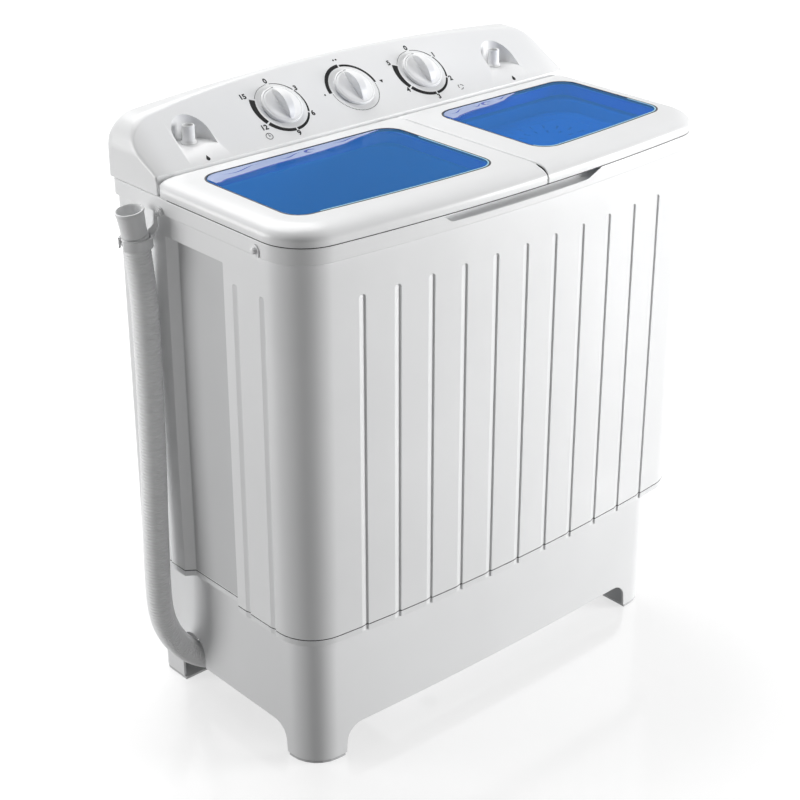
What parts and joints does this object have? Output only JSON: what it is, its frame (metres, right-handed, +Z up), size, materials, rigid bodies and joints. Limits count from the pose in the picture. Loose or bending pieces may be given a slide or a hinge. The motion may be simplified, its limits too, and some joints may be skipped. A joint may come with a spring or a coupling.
{
  "type": "twin tub washer",
  "caption": "Free-standing washer with a wash tub and a spin tub side by side under hinged lids with clear windows, a sloping console with turning dials, and a drain hose on its side.",
  "frame": {"origin": "on the floor, under the middle of the casing's outline", "axes": "+Z up; the front with the finger grip faces -Y; the wash tub is towards -X and the spin tub towards +X"},
  "size_m": [0.6771, 0.3504, 0.7388],
  "materials": {
    "white_gloss": "satin",
    "white_inner": "satin",
    "hose_grey": "satin",
    "window_blue": "gloss",
    "rubber": "matte",
    "black_plastic": "matte",
    "steel": "satin",
    "painted_iron": "satin"
  },
  "bodies": {
    "casing": {"base": "white_inner", "bottom_tray": "steel", "cabinet": "white_gloss", "rear_access_cover": "white_inner", "rear_cover_screw_left": "steel", "rear_cover_screw_right": "steel", "power_cord_gland": "black_plastic", "top_collar": "white_gloss", "rear_hose_peg": "white_gloss", "front_hose_peg": "white_gloss", "wash_tub": "white_inner", "lint_filter": "white_inner", "overflow_grille": "white_inner", "spin_housing": "white_inner", "spin_inner_cover": "white_inner", "console_shell": "white_gloss", "console_back_cover": "white_inner", "wash_inlet_spout": "hose_grey", "spin_inlet_spout": "hose_grey", "wash_gearbox": "steel", "wash_motor": "painted_iron", "wash_motor_bracket": "steel", "drive_belt": "rubber", "spin_motor": "painted_iron", "spin_motor_spring_1": "steel", "spin_motor_spring_2": "steel", "spin_motor_spring_3": "steel", "drain_elbow": "hose_grey", "drain_valve_body": "hose_grey", "drain_hose": "hose_grey", "hose_cuff": "hose_grey", "hose_clip": "hose_grey", "wash_timer_body": "white_inner", "cycle_selector_body": "white_inner", "spin_timer_body": "white_inner", "foot_pad_front_left": "rubber", "foot_pad_front_right": "rubber", "foot_pad_rear_left": "rubber", "foot_pad_rear_right": "rubber"},
    "wash_lid": {"wash_lid_frame": "white_gloss", "wash_lid_window": "window_blue", "wash_lid_pin_left": "steel", "wash_lid_pin_right": "steel"},
    "spin_lid": {"spin_lid_frame": "white_gloss", "spin_lid_window": "window_blue", "spin_lid_pin_left": "steel", "spin_lid_pin_right": "steel"},
    "wash_timer_dial": {"wash_timer_knob": "white_gloss"},
    "cycle_selector_dial": {"cycle_selector_knob": "white_gloss"},
    "spin_timer_dial": {"spin_timer_knob": "white_gloss"},
    "agitator": {"pulsator": "white_gloss", "pulsator_shaft": "steel", "drive_pulley": "painted_iron"},
    "motor_rotor": {"motor_pulley": "steel"},
    "spin_drum": {"spin_basket": "white_inner", "spin_shaft": "steel", "brake_drum": "steel"},
    "drain_plunger": {"drain_valve_plunger": "rubber"}
  },
  "joints": [
    {"name": "wash_lid_hinge", "type": "hinge", "parent": "casing", "child": "wash_lid", "pos_m": [-0.145, 0.0728, 0.6679], "axis": [-1, 0, 0], "range_deg": [0, 100]},
    {"name": "spin_lid_hinge", "type": "hinge", "parent": "casing", "child": "spin_lid", "pos_m": [0.171, 0.0728, 0.6679], "axis": [-1, 0, 0], "range_deg": [0, 100]},
    {"name": "wash_timer_turn", "type": "hinge", "parent": "casing", "child": "wash_timer_dial", "pos_m": [-0.112, 0.12103, 0.70589], "axis": [0, 0.6018, -0.7986], "range_deg": [0, 300]},
    {"name": "cycle_selector_turn", "type": "hinge", "parent": "casing", "child": "cycle_selector_dial", "pos_m": [-0.003, 0.12103, 0.70589], "axis": [0, 0.6018, -0.7986], "range_deg": [-90, 90]},
    {"name": "spin_timer_turn", "type": "hinge", "parent": "casing", "child": "spin_timer_dial", "pos_m": [0.106, 0.12103, 0.70589], "axis": [0, 0.6018, -0.7986], "range_deg": [0, 300]},
    {"name": "pulsator_spin", "type": "hinge", "parent": "casing", "child": "agitator", "pos_m": [-0.148, -0.036, 0.24], "axis": [0, 0, 1], "continuous": true},
    {"name": "wash_motor_spin", "type": "hinge", "parent": "casing", "child": "motor_rotor", "pos_m": [-0.046, 0.066, 0.09], "axis": [0, 0, 1], "continuous": true},
    {"name": "spin_drum_spin", "type": "hinge", "parent": "casing", "child": "spin_drum", "pos_m": [0.165, -0.038, 0.2], "axis": [0, 0, 1], "continuous": true},
    {"name": "drain_valve_lift", "type": "slide", "parent": "casing", "child": "drain_plunger", "axis": [0, 0, 1], "range_m": [0, 0.012], "stiffness_N_per_m": 150, "springref_m": -0.006}
  ],
  "couplings": [
    {"joint": "wash_motor_spin", "follows": "pulsator_spin", "ratio": 2.5}
  ]
}
